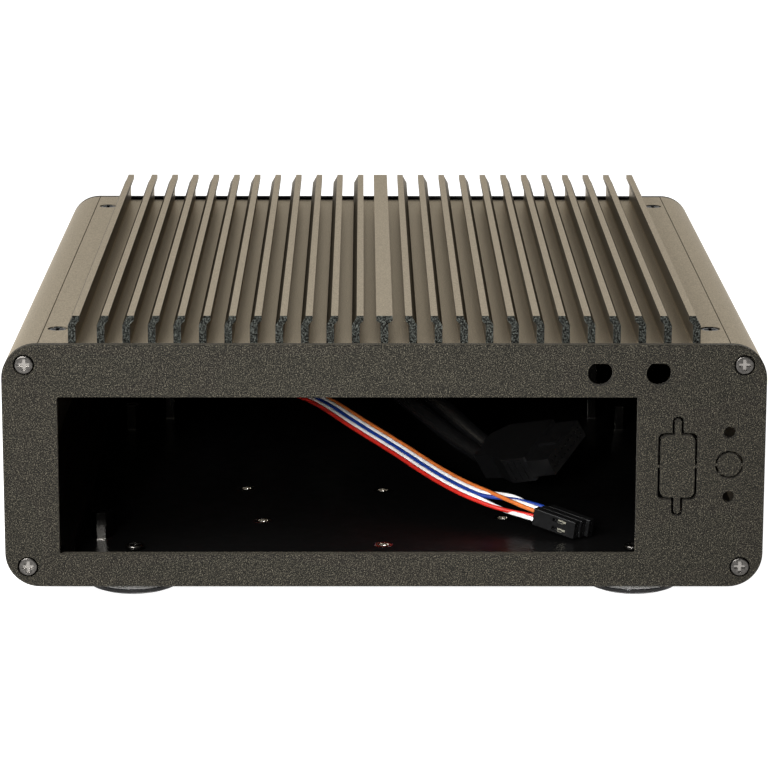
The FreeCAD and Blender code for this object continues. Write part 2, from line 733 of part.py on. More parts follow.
def usb_bracket():
    x0, x1 = FRONT_BOARD[:2]
    y0, y1 = BRACKET_FROM_Y, BRACKET_TO_Y
    base = box((x0, y0, FLOOR_Z), (x1, y1, FLOOR_Z + SHEET_T))
    web = box((x0, y0, FLOOR_Z), (x1, y0 + SHEET_T, BOARD_Z))
    shelf = box((x0, y0, BOARD_Z - SHEET_T), (x1, y1, BOARD_Z))
    shape = base.fuse([web, shelf]).removeSplitter()
    cuts = [along_z(x, y, CLEAR_R, FLOOR_Z, FLOOR_Z + SHEET_T) for x, y in bracket_screw_places()]
    cuts += [along_z(x, y, TAP_R, BOARD_Z - SHEET_T, BOARD_Z) for x, y in board_screw_places()]
    return shape.cut(cuts)


def usb_bracket_screws():
    solids = [screw((x, y, FLOOR_Z + SHEET_T), (0, 0, -1), BRACKET_SHANK) for x, y in bracket_screw_places()]
    solids += [screw((x, y, BOARD_Z + BOARD_T), (0, 0, -1), BOARD_SHANK) for x, y in board_screw_places()]
    return group(solids)


def usb_lead_clamp():
    """The moulded block where both leads meet the front board."""
    low = (*CLAMP_FROM, BOARD_Z + BOARD_T)
    return rounded_box(low, (*CLAMP_TO, BOARD_Z + BOARD_T + CLAMP_H), 1.0, 1)


# ---- header plugs at the free ends of the leads ----

def usb_header_plug(leads):
    """A plug whose grip widens from the leads' entry to a long thin collar with a key."""
    half_thick = USB_GRIP_THICK / 2
    corners = [Vector(x, y, -half_thick) for x, y in USB_GRIP_OUTLINE]
    grip = Part.Face(Part.makePolygon(corners + corners[:1])).extrude(Vector(0, 0, USB_GRIP_THICK))
    grip = grip.makeFillet(USB_GRIP_ROUND, [edge for edge in grip.Edges if runs_along(edge, 2)])
    grip_side = max(y for x, y in USB_GRIP_OUTLINE)
    ribs = []
    for number in range(USB_RIBS):
        x = USB_RIB_FROM + USB_RIB_STEP * number
        side = grip_side + USB_RIB_PROUD
        rib_half = half_thick - USB_RIB_INSET
        ribs.append(box((x, -side, -rib_half), (x + USB_RIB_WIDE, side, rib_half)))
    half_long = USB_COLLAR_LONG / 2
    half_deep = USB_COLLAR_THICK / 2
    collar = box((USB_COLLAR_FROM, -half_long, -half_deep), (USB_COLLAR_TO, half_long, half_deep))
    key_low = (USB_COLLAR_FROM, -USB_KEY_HALF, half_deep)
    key = box(key_low, (USB_KEY_TO, USB_KEY_HALF, half_deep + USB_KEY_PROUD))
    plug = grip.fuse(ribs + [collar, key]).removeSplitter()
    holes = []
    for number in range(USB_WAYS):
        y = USB_PITCH * (number - USB_WAYS // 2)
        for z in (-USB_PITCH / 2, USB_PITCH / 2):
            low = (USB_COLLAR_TO - USB_HOLE_DEEP, y - USB_HOLE_HALF, z - USB_HOLE_HALF)
            holes.append(box(low, (USB_COLLAR_TO, y + USB_HOLE_HALF, z + USB_HOLE_HALF)))
    placed = turned(plug.cut(holes), USB_PLUG_START, USB_PLUG_FORWARD, USB_PLUG_LONG)
    return placed.cut(leads)


def housing_frame():
    """The way from one housing of the row to the next, and the way up their wide faces."""
    across = Vector(0, 0, 1).cross(HOUSING_FORWARD).normalize()
    up = Vector(HOUSING_FORWARD).cross(across).normalize()
    return across, up


def in_housing(shape, number):
    across, up = housing_frame()
    forward = Vector(HOUSING_FORWARD).normalize()
    origin = HOUSING_START + across * (HOUSING_STEP * (number - 1)) + forward * HOUSING_STAGGER[number]
    return turned(shape, origin, HOUSING_FORWARD, up)


def header_housing(number):
    """One two-way housing on edge, with two socket holes and two latch windows."""
    length, wide, thick = HOUSING_SIZE
    shape = rounded_box((0, -wide / 2, -thick / 2), (length, wide / 2, thick / 2), HOUSING_ROUND, 0)
    window_from, window_to = [length - back for back in WINDOW_BACK]
    inner_end = length - SOCKET_BACK
    cuts = []
    for y in (-CONTACT_SIDE, CONTACT_SIDE):
        low = (inner_end, y - SOCKET_HALF, -SOCKET_HALF)
        cuts.append(box(low, (length, y + SOCKET_HALF, SOCKET_HALF)))
        low = (window_from, y - WINDOW_HALF, SOCKET_HALF)
        cuts.append(box(low, (window_to, y + WINDOW_HALF, thick / 2)))
        low = (window_from, y - LATCH_HALF, -SOCKET_HALF)
        cuts.append(box(low, (inner_end, y + LATCH_HALF, SOCKET_HALF)))
    return in_housing(shape.cut(cuts), number)


def header_contacts():
    """The bright crimped contacts that show in the housings' latch windows."""
    strip_from, strip_to = [HOUSING_SIZE[0] - back for back in STRIP_BACK]
    latch_from, latch_to = [HOUSING_SIZE[0] - back for back in LATCH_BACK]
    solids = []
    for number in range(len(HOUSING_STAGGER)):
        for y in (-CONTACT_SIDE, CONTACT_SIDE):
            strip = box((strip_from, y - STRIP_HALF, -STRIP_HALF), (strip_to, y + STRIP_HALF, STRIP_HALF))
            latch = box((latch_from, y - STRIP_HALF, STRIP_HALF), (latch_to, y + STRIP_HALF, LATCH_TOP))
            solids.append(in_housing(strip.fuse(latch).removeSplitter(), number))
    return group(solids)


PARTS["rear_io_panel"] = rear_io_panel()
PARTS["front_panel"] = front_panel()
PARTS["right_side_rail"] = right_rail()
PARTS["left_side_rail"] = mirrored(PARTS["right_side_rail"])
PARTS["top_heatsink"] = top_heatsink()
PARTS["bottom_plate"] = bottom_plate()
PARTS["rear_panel_screws"] = corner_screws(REAR_Y, 1)
PARTS["front_panel_screws"] = corner_screws(FRONT_Y, -1)
PARTS["top_plate_screws"] = top_screws()
PARTS["bottom_plate_screws"] = floor_screws()
FOOT_NAMES = ("foot_rear_left", "foot_rear_right", "foot_front_left", "foot_front_right")
for name, (foot_x, foot_y) in zip(FOOT_NAMES, foot_places()):
    PARTS[name] = foot(foot_x, foot_y)
PARTS["foot_pads"] = group([along_z(x, y, PAD_R, 0, PAD_T) for x, y in foot_places()])
PARTS["foot_screws"] = foot_screws()
PARTS["board_standoffs"] = group([standoff(x, y, STANDOFF_H) for x, y in standoff_places()])
PARTS["bracket_posts"] = group([standoff(x, y, POST_H) for x, y in both_posts()])
PARTS["floor_inserts"] = group([insert(x, y) for x, y in INSERTS])
PARTS["power_button_cap"] = power_button_cap()
PARTS["button_barrel"] = button_barrel()
PARTS["button_nut"] = button_nut()
PARTS["power_switch"] = power_switch()
PARTS["power_led"] = led(LED_X[0])
PARTS["drive_led"] = led(LED_X[1])
PARTS["led_leads"] = led_leads()
PARTS["led_holder"] = led_holder()
PARTS["usb_port_outer"] = usb_port(PORT_X[0])
PARTS["usb_port_inner"] = usb_port(PORT_X[1])
PARTS["front_usb_board"] = front_usb_board()
PARTS["usb_bracket"] = usb_bracket()
PARTS["usb_bracket_screws"] = usb_bracket_screws()
PARTS["usb_lead_clamp"] = usb_lead_clamp()
PARTS["usb_lead_lower"] = tube(USB_LOWER_ROUTE, USB_D)
PARTS["usb_lead_upper"] = tube(USB_UPPER_ROUTE, USB_D)
PARTS["usb_header_plug"] = usb_header_plug([PARTS["usb_lead_lower"], PARTS["usb_lead_upper"]])
PARTS["ribbon_lead"] = tube(RIBBON_ROUTE, RIBBON_D)
HOUSING_NAMES = ("header_housing_left", "header_housing_middle", "header_housing_right")
for number, name in enumerate(HOUSING_NAMES):
    PARTS[name] = header_housing(number)
PARTS["header_contacts"] = header_contacts()

os.makedirs("parts", exist_ok=True)
for name, shape in PARTS.items():
    shape.exportStep("parts/" + name + ".step")
    state = "valid" if shape.isValid() else "INVALID"
    print(name, state, len(shape.Solids), "solids, %.0f mm3" % shape.Volume)
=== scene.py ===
"""Looks, leads, light and camera for the fanless mini PC case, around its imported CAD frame."""

import json
import math

import bmesh
import bpy
from mathutils import Matrix, Vector


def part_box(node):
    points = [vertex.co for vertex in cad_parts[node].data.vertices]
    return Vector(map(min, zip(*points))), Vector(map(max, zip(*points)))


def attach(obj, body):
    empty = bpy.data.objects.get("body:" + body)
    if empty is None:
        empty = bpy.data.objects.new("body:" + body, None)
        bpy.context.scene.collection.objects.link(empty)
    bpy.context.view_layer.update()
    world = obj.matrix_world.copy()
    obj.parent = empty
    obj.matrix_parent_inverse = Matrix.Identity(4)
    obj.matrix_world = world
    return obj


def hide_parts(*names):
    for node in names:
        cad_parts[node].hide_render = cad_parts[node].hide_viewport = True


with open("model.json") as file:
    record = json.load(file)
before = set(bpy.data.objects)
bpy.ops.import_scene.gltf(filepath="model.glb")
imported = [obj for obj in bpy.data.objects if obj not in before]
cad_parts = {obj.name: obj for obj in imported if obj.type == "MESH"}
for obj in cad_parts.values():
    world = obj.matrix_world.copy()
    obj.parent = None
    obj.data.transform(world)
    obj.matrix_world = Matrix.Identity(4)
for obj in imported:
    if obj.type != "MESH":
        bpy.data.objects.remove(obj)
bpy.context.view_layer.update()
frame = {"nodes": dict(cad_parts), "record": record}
nodes = frame["nodes"]
MM = 0.001
CASE = "case"

# planes of the case that finishes and the camera are placed from
rear_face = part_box("rear_io_panel")[0]
panel_inner_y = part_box("rear_io_panel")[1][1]
rail_side_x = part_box("right_side_rail")[1][0]
rail_top_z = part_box("right_side_rail")[1][2]
lid_under_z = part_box("top_heatsink")[0][2]
floor_top_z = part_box("bottom_plate")[1][2]
JUST_PAST = 0.1 * MM


# ---------------------------------------------------------------- camera
SENSOR_MM = 36.0
LENS_MM = 162.08
CAMERA_PITCH = 0.2265
CAMERA_TURN = 0.0063
CAMERA_ROLL = 0.0018
CAMERA_X = -5.9 * MM
CAMERA_BEHIND = 918.9 * MM
CAMERA_ABOVE = 269.3 * MM
FAR_CLIP = 30.0


def make_camera():
    data = bpy.data.cameras.new("photo_camera")
    data.sensor_width = SENSOR_MM
    data.lens = LENS_MM
    data.clip_end = FAR_CLIP
    camera = bpy.data.objects.new("photo_camera", data)
    bpy.context.scene.collection.objects.link(camera)
    camera.location = (CAMERA_X, rear_face[1] - CAMERA_BEHIND, rear_face[2] + CAMERA_ABOVE)
    look = Matrix.Rotation(-CAMERA_TURN, 4, "Z") @ Matrix.Rotation(math.pi / 2 - CAMERA_PITCH, 4, "X")
    camera.rotation_euler = (look @ Matrix.Rotation(CAMERA_ROLL, 4, "Z")).to_euler()
    bpy.context.scene.camera = camera


make_camera()


# ---------------------------------------------------------------- shader building blocks
class Finish:
    """One material: a Principled shader and short calls that add what varies over the surface."""

    def __init__(self, name, colour, roughness, metallic=0.0, **sockets):
        self.material = bpy.data.materials.new(name)
        self.material.use_nodes = True
        self.tree = self.material.node_tree
        self.shader = self.tree.nodes["Principled BSDF"]
        self.shader.inputs["Base Color"].default_value = (*colour, 1.0)
        self.shader.inputs["Roughness"].default_value = roughness
        self.shader.inputs["Metallic"].default_value = metallic
        for socket, value in sockets.items():
            self.shader.inputs[socket.replace("_", " ")].default_value = value
        self.where = self.node("ShaderNodeTexCoord")
        self.colour = self.shader.inputs["Base Color"]
        self.roughness = self.shader.inputs["Roughness"]

    def node(self, kind, **settings):
        made = self.tree.nodes.new(kind)
        for key, value in settings.items():
            setattr(made, key, value)
        return made

    def link(self, source, target):
        self.tree.links.new(source, target)

    def stretched(self, scale):
        mapping = self.node("ShaderNodeMapping")
        mapping.inputs["Scale"].default_value = scale
        self.link(self.where.outputs["Object"], mapping.inputs["Vector"])
        return mapping.outputs["Vector"]

    def noise(self, size, detail=2.0, rough=0.5, along=None):
        """Noise whose features are about size metres across; along stretches it per axis."""
        made = self.node("ShaderNodeTexNoise")
        made.inputs["Scale"].default_value = 1.0 / size
        made.inputs["Detail"].default_value = detail
        made.inputs["Roughness"].default_value = rough
        vector = self.stretched(along) if along else self.where.outputs["Object"]
        self.link(vector, made.inputs["Vector"])
        return made.outputs["Fac"]

    def cells(self, size):
        made = self.node("ShaderNodeTexVoronoi")
        made.inputs["Scale"].default_value = 1.0 / size
        self.link(self.where.outputs["Object"], made.inputs["Vector"])
        return made.outputs["Distance"]

    def ramp(self, factor, stops):
        made = self.node("ShaderNodeValToRGB")
        band = made.color_ramp
        for index, (place, colour) in enumerate(stops):
            element = band.elements[index] if index < 2 else band.elements.new(place)
            element.position = place
            element.color = (*colour, 1.0)
        self.link(factor, made.inputs["Fac"])
        return made.outputs["Color"]

    def between(self, factor, low, high):
        made = self.node("ShaderNodeMapRange")
        made.inputs["To Min"].default_value = low
        made.inputs["To Max"].default_value = high
        self.link(factor, made.inputs["Value"])
        return made.outputs["Result"]

    def math(self, operation, first, second=None):
        made = self.node("ShaderNodeMath", operation=operation)
        for socket, value in zip(made.inputs, (first, second)):
            if value is None:
                continue
            if isinstance(value, (int, float)):
                socket.default_value = value
            else:
                self.link(value, socket)
        return made.outputs["Value"]

    def mix_colour(self, factor, first, second):
        made = self.node("ShaderNodeMix", data_type="RGBA")
        self.link(factor, made.inputs["Factor"])
        self.set_socket(made.inputs["A"], first)
        self.set_socket(made.inputs["B"], second)
        return made.outputs["Result"]

    def mix_value(self, factor, first, second):
        made = self.node("ShaderNodeMix", data_type="FLOAT")
        self.link(factor, made.inputs["Factor"])
        self.set_socket(made.inputs["A"], first)
        self.set_socket(made.inputs["B"], second)
        return made.outputs["Result"]

    def set_socket(self, socket, value):
        if isinstance(value, (int, float)):
            socket.default_value = value
        elif isinstance(value, tuple):
            socket.default_value = (*value, 1.0)
        else:
            self.link(value, socket)

    def bump(self, height, distance, strength=1.0, under=None):
        made = self.node("ShaderNodeBump")
        made.inputs["Distance"].default_value = distance
        made.inputs["Strength"].default_value = strength
        self.link(height, made.inputs["Height"])
        if under is not None:
            self.link(under, made.inputs["Normal"])
        self.link(made.outputs["Normal"], self.shader.inputs["Normal"])
        return made.outputs["Normal"]

    def facing(self, axis, least):
        """1 on faces turned at least so far towards an object axis, 0 elsewhere."""
        split = self.node("ShaderNodeSeparateXYZ")
        self.link(self.where.outputs["Normal"], split.inputs["Vector"])
        size = self.math("ABSOLUTE", split.outputs[axis])
        return self.math("GREATER_THAN", size, least)

    def position(self, axis):
        split = self.node("ShaderNodeSeparateXYZ")
        self.link(self.where.outputs["Object"], split.inputs["Vector"])
        return split.outputs[axis]

    def inside_band(self, mask, axis, least, most):
        """The mask, kept only where the place along an axis lies between two values."""
        mask = self.math("MULTIPLY", mask, self.math("GREATER_THAN", self.position(axis), least))
        return self.math("MULTIPLY", mask, self.math("LESS_THAN", self.position(axis), most))

    def within(self, reach, axis):
        """1 nearer than reach to the case's middle plane across an axis, 0 beyond it."""
        return self.math("LESS_THAN", self.math("ABSOLUTE", self.position(axis)), reach)


def tint(colour, factor):
    return tuple(min(1.0, channel * factor) for channel in colour)


# ---------------------------------------------------------------- materials
# near-black painted on the case's inner faces and hole walls as the shade inside them
INSIDE_PAINTED_SHADE = (0.004, 0.004, 0.004)
SMALL_HOLES_X = (54.0 * MM, 99.0 * MM)
SMALL_HOLES_Z = (20.0 * MM, 70.5 * MM)
RAIL_WALL = 3.3 * MM
SCREW_RECESS_Y = (113.0 * MM, 117.95 * MM)
TOP_SCREWS_Z = rail_top_z - 2.2 * MM
INSERT_RIM = 0.2 * MM
TONGUE_UP = (2.7 * MM, 4.7 * MM)
TONGUE_BACK = 0.75 * MM
TONGUE_END_GAP = 1.2 * MM
TONGUE_FROM_MIDDLE = 4.65 * MM


def textured_powder_coat():
    """Rough sprayed coat with pale flecks; inner faces, and the walls of holes, are painted flat black as
    shade.
    """
    dark = (0.0022, 0.0020, 0.0014)
    mid = (0.0095, 0.0084, 0.0059)
    light = (0.105, 0.094, 0.068)
    finish = Finish("textured_black", mid, 0.62, Specular_IOR_Level=0.1)
    finish.shader.inputs["Sheen Weight"].default_value = 0.05
    finish.shader.inputs["Sheen Tint"].default_value = (0.9, 0.82, 0.68, 1.0)
    grain = finish.noise(0.00031, 2.0, 0.7)
    coat = finish.ramp(grain, [(0.38, dark), (0.72, light), (0.53, mid)])
    # the walls of the small holes are painted flat black as shade in the recesses
    wall = finish.math("SUBTRACT", 1.0, finish.facing(1, 0.5))
    wall = finish.inside_band(wall, 0, *SMALL_HOLES_X)
    wall = finish.inside_band(wall, 2, *SMALL_HOLES_Z)
    # the panel's inner faces are painted flat black as shade inside the case
    black = finish.math("MAXIMUM", wall, finish.within(-panel_inner_y - JUST_PAST, 1))
    finish.link(finish.mix_colour(black, coat, INSIDE_PAINTED_SHADE), finish.colour)
    finish.link(finish.between(finish.noise(0.0011), 0.5, 0.74), finish.roughness)
    coarse = finish.bump(finish.noise(0.00034, 2.0, 0.6), 0.00014, 0.9)
    finish.bump(finish.cells(0.00026), 0.00006, 0.5, under=coarse)
    return finish.material


def anodised():
    """Satin anodised metal; sawn ends are dark; the fins' upright faces and shoulders carry painted shade,
    and inner faces are painted flat black as shade.
    """
    base = (0.36, 0.317, 0.250)
    cut = (0.003, 0.0032, 0.0029)
    edge = (0.90, 0.81, 0.67, 1.0)
    finish = Finish("anodised_bronze", base, 0.42, 0.92, Specular_Tint=edge)
    fine = finish.noise(0.00035, 2.0, 0.6)
    drawn = finish.noise(0.0009, 2.0, 0.5, along=(1.0, 0.02, 1.0))
    body = finish.ramp(fine, [(0.32, tint(base, 0.58)), (0.68, tint(base, 1.42))])
    body = finish.mix_colour(finish.between(drawn, 0.0, 0.15), body, tint(base, 0.72))
    on_fins = finish.math("GREATER_THAN", finish.position(2), rail_top_z + JUST_PAST)
    # painted shade: the fins' upright side faces are darkened
    flank_painted_shade = finish.math("MULTIPLY", on_fins, finish.facing(0, 0.95))
    body = finish.mix_colour(finish.math("MULTIPLY", flank_painted_shade, 0.7), body, tint(base, 0.12))
    # painted shade: the fins' sloped shoulders are darkened nearly to black
    shoulder_painted_shade = finish.math("MULTIPLY", on_fins, finish.facing(0, 0.8))
    body = finish.mix_colour(finish.math("SUBTRACT", shoulder_painted_shade, flank_painted_shade), body, tint(base, 0.04))
    sawn = finish.facing(1, 0.9)
    pits = finish.noise(0.00045, 3.0, 0.75)
    end = finish.ramp(pits, [(0.47, cut), (0.66, tint(cut, 45.0))])
    body = finish.mix_colour(sawn, body, end)
    # painted shade: faces below the lid and inside the rails are flat black, not metal
    below_lid = finish.math("LESS_THAN", finish.position(2), lid_under_z - JUST_PAST)
    inside = finish.math("MULTIPLY", below_lid, finish.within(rail_side_x - RAIL_WALL, 0))
    finish.link(finish.mix_colour(inside, body, INSIDE_PAINTED_SHADE), finish.colour)
    finish.link(finish.mix_value(inside, 0.92, 0.0), finish.shader.inputs["Metallic"])
    satin = finish.between(finish.noise(0.0006), 0.34, 0.48)
    finish.link(finish.mix_value(sawn, satin, 0.85), finish.roughness)
    height = finish.mix_value(sawn, finish.math("MULTIPLY", fine, 0.25), pits)
    finish.bump(height, 0.00012, 0.45)
    return finish.material


def smooth_black_paint():
    finish = Finish("floor_black", (0.003, 0.0029, 0.0029), 0.3, Specular_IOR_Level=0.06)
    finish.link(finish.between(finish.noise(0.004), 0.24, 0.4), finish.roughness)
    finish.bump(finish.noise(0.0016), 0.00004, 0.35)
    return finish.material


def plated_screw():
    """Dark plated steel; the recesses of the panels' screws are painted bright, partly as wear from the
    driver and partly as a painted glint; the top's are black.
    """
    base = (0.07, 0.066, 0.061)
    finish = Finish("screw_steel", base, 0.28, 1.0)
    wear = finish.noise(0.0006, 3.0, 0.6)
    plating = finish.ramp(wear, [(0.3, tint(base, 0.55)), (0.7, tint(base, 1.5))])
    from_y, to_y = SCREW_RECESS_Y
    # the panels' screw recesses are painted bright: a painted glint, partly wear from the driver
    recess_wear_and_glint = finish.math("SUBTRACT", finish.within(to_y, 1), finish.within(from_y, 1))
    body = finish.mix_colour(recess_wear_and_glint, plating, tint(base, 3.4))
    on_top = finish.math("GREATER_THAN", finish.position(2), TOP_SCREWS_Z)
    finish.link(finish.mix_colour(on_top, body, tint(base, 0.06)), finish.colour)
    finish.link(finish.between(wear, 0.18, 0.36), finish.roughness)
    finish.bump(finish.noise(0.00025), 0.00003, 0.5)
    return finish.material


def glossy_black():
    """Glossy black plastic; the bevelled shoulder of each foot carries a pale ring painted on as a
    highlight.
    """
    base = (0.010, 0.0095, 0.0095)
    finish = Finish("foot_plastic", base, 0.12, Specular_IOR_Level=0.25)
    dust = finish.noise(0.0008, 3.0, 0.6)
    dusty = finish.ramp(dust, [(0.45, base), (0.8, tint(base, 2.2))])
    # painted highlight: a pale ring on the foot's bevel stands for its bright reflection
    ring = finish.math("SUBTRACT", finish.facing(2, 0.6), finish.facing(2, 0.95))
    finish.link(finish.mix_colour(ring, dusty, (0.42, 0.41, 0.40)), finish.colour)
    finish.link(finish.between(dust, 0.08, 0.2), finish.roughness)
    finish.bump(finish.noise(0.0022), 0.00003, 0.3)
    return finish.material


def moulded(name, base, roughness, size=0.0004, depth=0.00005, metallic=0.0):
    """Moulded plastic or rubber: faint mottling, fine spark texture."""
    finish = Finish(name, base, roughness, metallic)
    mottle = finish.noise(size * 4, 3.0, 0.55)
    finish.link(finish.ramp(mottle, [(0.3, tint(base, 0.8)), (0.7, tint(base, 1.2))]), finish.colour)
    finish.link(finish.between(mottle, roughness * 0.8, min(1.0, roughness * 1.2)), finish.roughness)
    finish.bump(finish.noise(size), depth, 0.4)
    return finish.material


def bare_metal(name, base, roughness, along=(1.0, 1.0, 1.0)):
    """Bright metal with fine working marks that run along the axis that along shortens."""
    finish = Finish(name, base, roughness, 1.0)
    marks = finish.noise(0.0003, 3.0, 0.6, along=along)
    finish.link(finish.ramp(marks, [(0.3, tint(base, 0.78)), (0.7, tint(base, 1.12))]), finish.colour)
    finish.link(finish.between(marks, roughness * 0.7, roughness * 1.3), finish.roughness)
    finish.bump(marks, 0.00002, 0.3)
    return finish.material


def nickel_plate():
    """Bright inserts flush with the floor; what stands above it is painted dark as shade."""
    bright = (0.60, 0.57, 0.52)
    finish = Finish("plated_brass", bright, 0.16, 1.0)
    marks = finish.noise(0.0004, 3.0, 0.6, along=(1.0, 1.0, 0.2))
    plate = finish.ramp(marks, [(0.3, tint(bright, 0.78)), (0.7, tint(bright, 1.12))])
    # painted shade: standoffs above the floor are darkened, the flush inserts stay bright
    above = finish.math("GREATER_THAN", finish.position(2), floor_top_z + INSERT_RIM)
    finish.link(finish.mix_colour(above, plate, tint(bright, 0.14)), finish.colour)
    finish.link(finish.between(marks, 0.1, 0.2), finish.roughness)
    finish.bump(marks, 0.00002, 0.3)
    return finish.material


def port_shell():
    """Bright formed sheet; the tongue inside each port is black plastic."""
    steel = (0.62, 0.61, 0.60)
    finish = Finish("port_steel", steel, 0.28, 1.0)
    marks = finish.noise(0.0003, 3.0, 0.6, along=(0.2, 1.0, 1.0))
    sheet = finish.ramp(marks, [(0.3, tint(steel, 0.78)), (0.7, tint(steel, 1.12))])
    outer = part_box("usb_port_outer")
    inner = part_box("usb_port_inner")
    middle = (outer[0][0] + inner[1][0]) / 2
    aside = finish.math("ABSOLUTE", finish.math("SUBTRACT", finish.position(0), middle))
    tongue = finish.math("LESS_THAN", aside, (inner[1][0] - outer[0][0]) / 2 - TONGUE_END_GAP)
    tongue = finish.math("MULTIPLY", tongue, finish.math("GREATER_THAN", aside, TONGUE_FROM_MIDDLE))
    tongue = finish.inside_band(tongue, 1, 0.0, outer[1][1] - TONGUE_BACK)
    tongue = finish.inside_band(tongue, 2, outer[0][2] + TONGUE_UP[0], outer[0][2] + TONGUE_UP[1])
    finish.link(finish.mix_colour(tongue, sheet, (0.012, 0.012, 0.013)), finish.colour)
    finish.link(finish.mix_value(tongue, 1.0, 0.0), finish.shader.inputs["Metallic"])
    finish.bump(marks, 0.00002, 0.3)
    return finish.material


def circuit_board():
    base = (0.008, 0.045, 0.022)
    finish = Finish("circuit_board", base, 0.32, Specular_IOR_Level=0.55)
    weave = finish.noise(0.0007, 2.0, 0.5, along=(1.0, 0.25, 1.0))
    finish.link(finish.ramp(weave, [(0.35, tint(base, 0.75)), (0.65, tint(base, 1.35))]), finish.colour)
    finish.bump(weave, 0.00003, 0.35)
    return finish.material


def lamp_lens():
    finish = Finish("led_lens", (0.75, 0.82, 0.9), 0.12, Specular_IOR_Level=0.6)
    finish.shader.inputs["Transmission Weight"].default_value = 0.55
    cloud = finish.noise(0.0012)
    finish.link(finish.ramp(cloud, [(0.3, (0.62, 0.7, 0.8)), (0.7, (0.85, 0.9, 0.95))]), finish.colour)
    finish.bump(cloud, 0.00002, 0.2)
    return finish.material


finishes = {
    "textured_black": textured_powder_coat(),
    "anodised_bronze": anodised(),
    "floor_black": smooth_black_paint(),
    "screw_steel": plated_screw(),
    "foot_plastic": glossy_black(),
    "pad_rubber": moulded("pad_rubber", (0.018, 0.018, 0.018), 0.85),
    "plated_brass": nickel_plate(),
    "button_metal": bare_metal("button_metal", (0.22, 0.21, 0.195), 0.36, (1.0, 0.2, 1.0)),
    "switch_plastic": moulded("switch_plastic", (0.02, 0.02, 0.02), 0.5),
    "led_lens": lamp_lens(),
    "tinned_wire": bare_metal("tinned_wire", (0.72, 0.71, 0.68), 0.25),
    "port_steel": port_shell(),
    "circuit_board": circuit_board(),
    # the bracket is painted near-black as shade inside the case
    "bracket_black": moulded("bracket_black", (0.006, 0.006, 0.006), 0.7),
    "plug_plastic": moulded("plug_plastic", (0.004, 0.004, 0.0042), 0.36, 0.00035, 0.00004),
    "cable_black": moulded("cable_black", (0.004, 0.004, 0.0042), 0.24, 0.0005, 0.00002),
    "wire_red": moulded("wire_red", (0.56, 0.022, 0.014), 0.38, 0.0005, 0.00002),
    "wire_white": moulded("wire_white", (0.90, 0.88, 0.86), 0.38, 0.0005, 0.00002),
    "wire_blue": moulded("wire_blue", (0.008, 0.036, 0.25), 0.38, 0.0005, 0.00002),
    "wire_orange": moulded("wire_orange", (0.58, 0.15, 0.03), 0.38, 0.0005, 0.00002),
    "contact_gold": bare_metal("contact_gold", (0.95, 0.88, 0.72), 0.42),
}


def dress_cad_nodes():
    for part in frame["record"]["subparts"]:
        for slot in nodes[part["node"]].material_slots:
            slot.material = finishes[part["material_slot"]]


dress_cad_nodes()


def add_piece(name, mesh, slot):
    """A new object with the mesh, riding on the case."""
    piece = bpy.data.objects.new(name, mesh)
    bpy.context.scene.collection.objects.link(piece)
    if not mesh.materials:
        mesh.materials.append(finishes[slot])
    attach(piece, CASE)
    return piece


# ---------------------------------------------------------------- leads
def route_curve(name, route):
    """A smooth open curve with the route's points, in millimetres, as its control points."""
    data = bpy.data.curves.new(name, "CURVE")
    data.dimensions = "3D"
    data.resolution_u = 12
    spline = data.splines.new("NURBS")
    spline.points.add(len(route) - 1)
    for point, place in zip(spline.points, route):
        point.co = (*[value * MM for value in place], 1.0)
    spline.order_u = 3
    spline.use_endpoint_u = True
    return data


def centreline(name, route):
    """Points along the route's smooth curve."""
    holder = bpy.data.objects.new(name + "_line", route_curve(name + "_line", route))
    bpy.context.scene.collection.objects.link(holder)
    line = bpy.data.meshes.new_from_object(holder)
    points = [vertex.co.copy() for vertex in line.vertices]
    bpy.data.objects.remove(holder)
    return points


def ring_tube(bm, points, radius, sides, material=0):
    """A closed round tube along points, added to a bmesh."""
    rings = []
    tangent = (points[1] - points[0]).normalized()
    side = tangent.orthogonal().normalized()
    for index, point in enumerate(points):
        before = points[max(index - 1, 0)]
        after = points[min(index + 1, len(points) - 1)]
        tangent = (after - before).normalized()
        side = (side - tangent * side.dot(tangent)).normalized()
        other = tangent.cross(side)
        ring = []
        for step in range(sides):
            turn = 2 * math.pi * step / sides
            ring.append(bm.verts.new(point + (side * math.cos(turn) + other * math.sin(turn)) * radius))
        rings.append(ring)
    for first, second in zip(rings, rings[1:]):
        for step in range(sides):
            ahead = (step + 1) % sides
            face = bm.faces.new((first[step], first[ahead], second[ahead], second[step]))
            face.material_index = material
            face.smooth = True
    for ring in (list(reversed(rings[0])), rings[-1]):
        bm.faces.new(ring).material_index = material


def smooth_step(value):
    value = min(1.0, max(0.0, value))
    return value * value * (3 - 2 * value)


RIBBON_ROUTE = (
    (-78.0, 88.0, 40.0),
    (-78.4, 74.0, 39.6),
    (-74.0, 54.0, 37.6),
    (-62.0, 37.0, 35.4),
    (-46.0, 22.0, 34.0),
    (-31.0, 10.0, 33.2),
    (-18.7, -0.8, 32.0),
    (-6.5, -21.4, 28.6),
    (5.3, -36.6, 25.0),
    (16.1, -51.0, 21.1),
    (26.8, -63.5, 18.4),
    (38.0, -70.9, 16.7),
    (45.3, -76.0, 15.3),
)
USB_LOWER_ROUTE = (
    (-32.4, 92.0, 37.0),
    (-32.4, 77.8, 37.2),
    (-30.3, 61.5, 38.2),
    (-26.4, 44.2, 39.9),
    (-20.3, 27.5, 41.3),
    (-13.3, 11.5, 41.7),
    (-4.8, -3.9, 40.5),
    (3.8, -15.8, 37.7),
    (11.1, -24.4, 33.8),
    (17.7, -31.6, 29.7),
    (24.0, -37.8, 26.2),
    (30.5, -43.1, 23.5),
)
